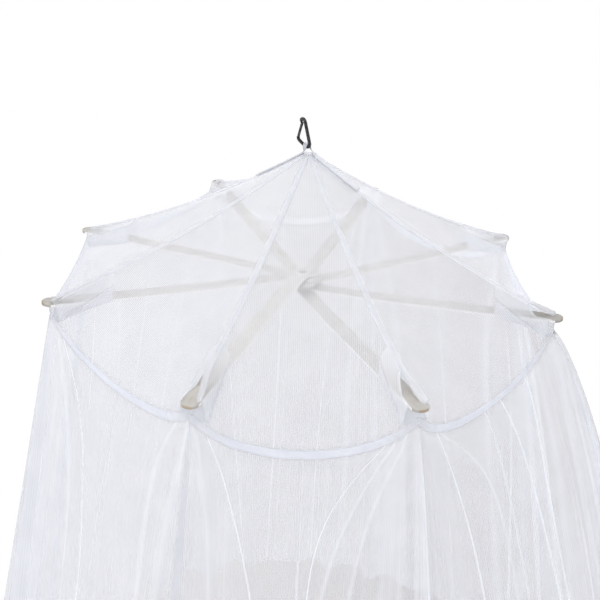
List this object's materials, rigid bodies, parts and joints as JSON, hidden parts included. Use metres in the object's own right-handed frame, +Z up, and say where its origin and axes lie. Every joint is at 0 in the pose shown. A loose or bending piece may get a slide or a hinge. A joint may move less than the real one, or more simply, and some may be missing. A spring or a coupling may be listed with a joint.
{
  "type": "mosquito net canopy with folding slat frame",
  "caption": "Hanging mosquito net: white netting roof and long gathered skirt over a star of bolted wooden slats, hung from a webbing loop by a carabiner.",
  "frame": {"origin": "the inside of the carabiner's narrow top bend, where the canopy hangs from a ceiling hook", "axes": "+Z up; +Y away from the viewer of the picture, so the front of the canopy faces -Y and +X is to the right"},
  "size_m": [2.2577, 2.1501, 2.346],
  "materials": {
    "netting": "fine white polyester mesh, sheer",
    "tape": "woven white tape over the seams and round the roof's edge",
    "pocket": "dense plain-woven white fabric",
    "webbing": "white ribbed webbing",
    "painted_wood": "pale painted wood, satin",
    "steel": "zinc-plated fastener",
    "black_metal": "black anodised, glossy"
  },
  "bodies": {
    "canopy": {"slat_front_left": "painted_wood", "slat_left_front": "painted_wood", "slat_left_back": "painted_wood", "slat_back_left": "painted_wood", "slat_back_right": "painted_wood", "slat_right_back": "painted_wood", "slat_right_front": "painted_wood", "slat_front_right": "painted_wood", "roof_gore_1": "netting", "seam_tape_1": "tape", "edge_tape_1": "tape", "corner_pocket_1": "pocket", "skirt_panel_1": "netting", "roof_gore_2": "netting", "seam_tape_2": "tape", "edge_tape_2": "tape", "corner_pocket_2": "pocket", "skirt_panel_2": "netting", "roof_gore_3": "netting", "seam_tape_3": "tape", "edge_tape_3": "tape", "corner_pocket_3": "pocket", "skirt_panel_3": "netting", "roof_gore_4": "netting", "seam_tape_4": "tape", "edge_tape_4": "tape", "corner_pocket_4": "pocket", "skirt_panel_4": "netting", "roof_gore_5": "netting", "seam_tape_5": "tape", "edge_tape_5": "tape", "corner_pocket_5": "pocket", "skirt_panel_5": "netting", "roof_gore_6": "netting", "seam_tape_6": "tape", "edge_tape_6": "tape", "corner_pocket_6": "pocket", "skirt_panel_6": "netting", "roof_gore_7": "netting", "seam_tape_7": "tape", "edge_tape_7": "tape", "corner_pocket_7": "pocket", "skirt_panel_7": "netting", "roof_gore_8": "netting", "seam_tape_8": "tape", "edge_tape_8": "tape", "corner_pocket_8": "pocket", "skirt_panel_8": "netting", "hub_bolt": "steel", "hub_washer_top": "steel", "hub_washer_bottom": "steel", "hub_nut": "steel", "gate_pin": "steel", "carabiner_body": "black_metal", "webbing_strap": "webbing"},
    "gate": {"carabiner_gate": "black_metal"}
  },
  "joints": [
    {"name": "gate_hinge", "type": "hinge", "parent": "canopy", "child": "gate", "pos_m": [-0.00202, 0.00576, -0.00877], "axis": [-0.7186, -0.6456, -0.2583], "range_deg": [0, 25], "stiffness_Nm_per_rad": 0.03, "springref_deg": -20.05}
  ]
}
